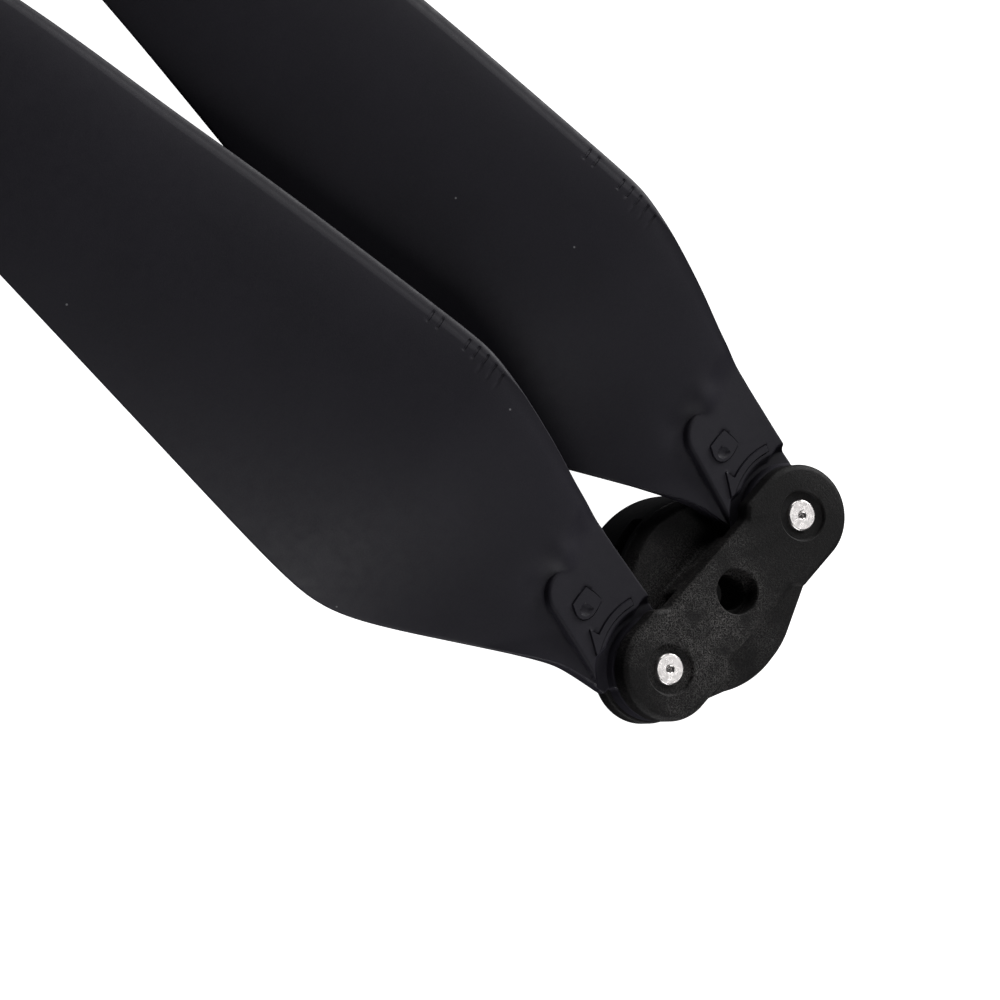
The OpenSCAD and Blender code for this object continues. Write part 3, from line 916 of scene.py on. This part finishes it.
def blade_material():
    """Matt moulded plastic with a fine spark texture, cloudy tone and a few dust specks."""
    m = Nodes("blade_plastic")
    cloud = m.remap(m.noise(0.11, 3, 0.6), 0.3, 0.7)
    colour = m.mix(cloud, (0.0178, 0.0162, 0.0250), (0.0238, 0.0216, 0.0325))
    grain = m.noise(9.0, 3, 0.65)
    colour = m.mix(m.remap(grain, 0.35, 0.75, 0.0, 0.35), colour, (0.042, 0.0395, 0.046))
    specks = m.add("ShaderNodeTexVoronoi")
    specks.inputs["Scale"].default_value = 0.42
    m.link(m.mm, specks.inputs["Vector"])
    near = m.remap(specks.outputs["Distance"], 0.018, 0.045, 1.0, 0.0)
    chosen = m.remap(specks.outputs["Color"], 0.72, 0.74)
    colour = m.mix(m.math("MULTIPLY", near, chosen), colour, (0.33, 0.33, 0.35))
    rough = m.remap(m.noise(1.3, 4, 0.6), 0.3, 0.7, 0.50, 0.62)
    normal = m.bump(grain, 0.012, 0.5)
    normal = m.bump(m.noise(0.45, 2), 0.02, 0.5, normal)
    return m.finish(colour, rough, normal, **{"Specular IOR Level": 0.42})


def fibre_layer(m, scale, shift, half_length, half_width):
    """Short straight fibres lying at random in the surface: brightness and height, 0 to 1."""
    place = m.vector("ADD", m.mm, shift)
    cells = m.add("ShaderNodeTexVoronoi")
    cells.inputs["Scale"].default_value = scale
    m.link(place, cells.inputs["Vector"])
    offset = m.vector("MULTIPLY", m.vector("SUBTRACT", place, cells.outputs["Position"]), (1, 1, 0.12))
    spread = m.vector("SUBTRACT", cells.outputs["Color"], (0.5, 0.5, 0.5))
    heading = m.vector("NORMALIZE", m.vector("MULTIPLY", spread, (1, 1, 0.1)))
    along = m.vector("DOT_PRODUCT", offset, heading)
    square = m.math("SUBTRACT", m.vector("DOT_PRODUCT", offset, offset), m.math("MULTIPLY", along, along))
    across = m.math("SQRT", m.math("MAXIMUM", square, 0.0))
    line = m.remap(across, half_width * 0.4, half_width, 1.0, 0.0)
    ends = m.remap(m.math("ABSOLUTE", along), half_length * 0.8, half_length, 1.0, 0.0)
    shade_of = m.add("ShaderNodeSeparateColor")
    m.link(cells.outputs["Color"], shade_of.inputs[0])
    return m.math("MULTIPLY", m.math("MULTIPLY", line, ends), m.remap(shade_of.outputs[2], 0, 1, 0.25, 1.0))


def nylon_material():
    """Glass-filled nylon: rough black skin with short pale fibres showing in patches."""
    m = Nodes("glass_filled_nylon")
    fibres = None
    # cells per mm, half length and half width of the fibres of each layer
    layers = ((2.4, 0.24, 0.030), (3.4, 0.18, 0.026), (4.3, 0.13, 0.024), (2.9, 0.20, 0.032),
              (5.6, 0.10, 0.022))
    for k, (scale, length, width) in enumerate(layers):
        layer = fibre_layer(m, scale, (k * 17.3, k * 5.1, k * 3.7), length, width)
        fibres = layer if fibres is None else m.math("MAXIMUM", fibres, layer)
    near_middle = m.vector("LENGTH", m.vector("SUBTRACT", m.mm, (-3.5, -0.5, 5.0)))
    patch = m.math("MULTIPLY", m.remap(near_middle, 4.0, 9.5, 1.0, 0.10),
                   m.remap(m.noise(0.30, 3, 0.55), 0.38, 0.62, 0.15, 1.0))
    share = m.math("MULTIPLY", fibres, patch)
    grain = m.noise(5.5, 4, 0.7)
    cloud = m.remap(m.noise(0.4, 3, 0.6), 0.3, 0.7)
    colour = m.mix(cloud, (0.0060, 0.0056, 0.0060), (0.0130, 0.0122, 0.0127))
    colour = m.mix(m.remap(grain, 0.4, 0.75, 0.0, 0.5), colour, (0.026, 0.0245, 0.0245))
    colour = m.mix(m.math("MULTIPLY", share, 0.85), colour, (0.27, 0.255, 0.248))
    rough = m.remap(grain, 0.3, 0.7, 0.66, 0.52)
    normal = m.bump(grain, 0.045, 0.9)
    normal = m.bump(share, 0.03, 0.8, normal)
    return m.finish(colour, rough, normal, **{"Specular IOR Level": 0.27})


def ring_material():
    """Smoother moulded plastic with faint flow marks round the ring."""
    m = Nodes("ring_plastic")
    flow = m.noise(1.0, 3, 0.6, m.stretched((0.25, 0.25, 1.6)))
    colour = m.mix(m.remap(flow, 0.3, 0.7), (0.010, 0.010, 0.011), (0.018, 0.0175, 0.0185))
    rough = m.remap(m.noise(2.2, 4, 0.6), 0.3, 0.7, 0.34, 0.48)
    normal = m.bump(m.noise(6.0, 3, 0.6), 0.01, 0.5)
    return m.finish(colour, rough, normal, **{"Specular IOR Level": 0.45})


def steel_material():
    """Bright turned steel with lathe lines about the pin's axis."""
    m = Nodes("turned_steel")
    parts = m.add("ShaderNodeSeparateXYZ")
    m.link(m.mm, parts.inputs[0])
    square = m.math("ADD", m.math("MULTIPLY", parts.outputs[0], parts.outputs[0]),
                    m.math("MULTIPLY", parts.outputs[1], parts.outputs[1]))
    radius = m.math("SQRT", square)
    wobble = m.math("MULTIPLY", m.noise(1.2, 2), 0.05)
    radius = m.math("ADD", radius, wobble)
    line = m.add("ShaderNodeCombineXYZ")
    m.link(m.math("MULTIPLY", radius, 16.0), line.inputs[0])
    rings = m.noise(1.0, 3, 0.7, line.outputs[0])
    colour = m.mix(m.remap(rings, 0.35, 0.65), (0.84, 0.80, 0.79), (0.95, 0.915, 0.90))
    rough = m.remap(m.noise(3.0, 3), 0.3, 0.7, 0.24, 0.36)
    normal = m.bump(rings, 0.004, 0.6)
    return m.finish(colour, rough, normal, Metallic=1.0)


def washer_material():
    """Thin pale bearing film, slightly cloudy."""
    m = Nodes("washer_film")
    colour = m.mix(m.remap(m.noise(0.9, 3), 0.3, 0.7), (0.50, 0.49, 0.45), (0.62, 0.61, 0.57))
    rough = m.remap(m.noise(4.0, 3), 0.3, 0.7, 0.38, 0.52)
    return m.finish(colour, rough, m.bump(m.noise(8.0, 2), 0.005, 0.5))


def floor_material():
    """Plain pale floor with a painted shadow inside the ring's footprint, so that the shaft hole looks
    deep.
    """
    m = Nodes("floor")
    tone = m.mix(m.noise(0.004, 1), (0.90, 0.90, 0.90), (0.92, 0.92, 0.92))
    flat = m.vector("MULTIPLY", m.mm, (1, 1, 0))
    # painted shadow: inside the ring's bore the floor's colour and glow fall to near black, standing in for
    # the shade under the ring
    out_of_painted_shadow = m.remap(m.vector("LENGTH", flat), RING_BORE - 0.8, RING_BORE, 0.0, 1.0)
    tone = m.mix(out_of_painted_shadow, (0.004, 0.004, 0.004), tone)
    glow = m.mix(out_of_painted_shadow, (0.006, 0.006, 0.006), (1.0, 1.0, 1.0))
    m.link(glow, m.shader.inputs["Emission Color"])
    rough = m.remap(m.noise(0.02, 2), 0.3, 0.7, 0.85, 0.95)
    return m.finish(tone, rough, **{"Emission Strength": FLOOR_GLOW})


def paint(obj, material):
    obj.data.materials.clear()
    obj.data.materials.append(material)


# ---- studio ----
def area_light(name, place, size, power):
    data = bpy.data.lights.new(name, "AREA")
    data.shape, data.size, data.energy = "DISK", size, power
    obj = link_object(name, data)
    obj.location = place
    direction = Vector(LIGHT_AIM) - obj.location
    obj.rotation_euler = direction.to_track_quat("-Z", "Y").to_euler()


def make_studio():
    """Floor, lights, world and the camera at the picture's viewing angle."""
    rim = arc_points(0, 0, FLOOR_R, 0, 360, 97)[:-1]
    floor = make_object("floor", *loft([level(rim, -RING_H - FLOOR_THICK),
                                        level(rim, -RING_H - FLOOR_GAP)]))
    paint(floor, floor_material())
    floor.visible_diffuse = False
    floor.visible_glossy = False
    for light in LIGHTS:
        area_light(*light)
    world = bpy.data.worlds.new("studio")
    world.use_nodes = True
    background = world.node_tree.nodes["Background"]
    background.inputs["Color"].default_value = WORLD_COLOUR
    background.inputs["Strength"].default_value = WORLD_STRENGTH
    bpy.context.scene.world = world
    camera = link_object("camera", bpy.data.cameras.new("camera"))
    rows = [[CAMERA_RIGHT[i], -CAMERA_DOWN[i], -CAMERA_AHEAD[i], CAMERA_PLACE[i]] for i in range(3)]
    camera.matrix_world = Matrix(rows + [[0, 0, 0, 1]])
    camera.data.lens, camera.data.sensor_width = LENS, SENSOR
    camera.data.clip_start, camera.data.clip_end = 0.01, 10.0
    bpy.context.scene.camera = camera
    bpy.context.scene.view_settings.view_transform = "Standard"


# ---- everything together ----
make_studio()
points, faces = blade_points()
left = make_blade("blade_left_skin", points, faces, -HALF, LEFT_ANGLE, "left_blade", "blade_left")
right = make_blade("blade_right_skin", points, faces, HALF, RIGHT_ANGLE, "right_blade", "blade_right")
plastic = blade_material()
paint(left, plastic)
paint(right, plastic)
paint(make_hub(), nylon_material())
paint(make_ring(), ring_material())
steel = steel_material()
for word, x in (("left", -HALF), ("right", HALF)):
    paint(make_pin("pin_%s_turned" % word, x, "pin_" + word), steel)
film = washer_material()
for word, x in (("left", -HALF), ("right", HALF)):
    for place, z, node in (("top", SLOT_TOP - WASHER_THICK, "upper"), ("base", LOW_PLATE, "lower")):
        washer = make_washer("washer_%s_%s" % (word, place), x, z, "washer_%s_%s" % (word, node))
        paint(washer, film)
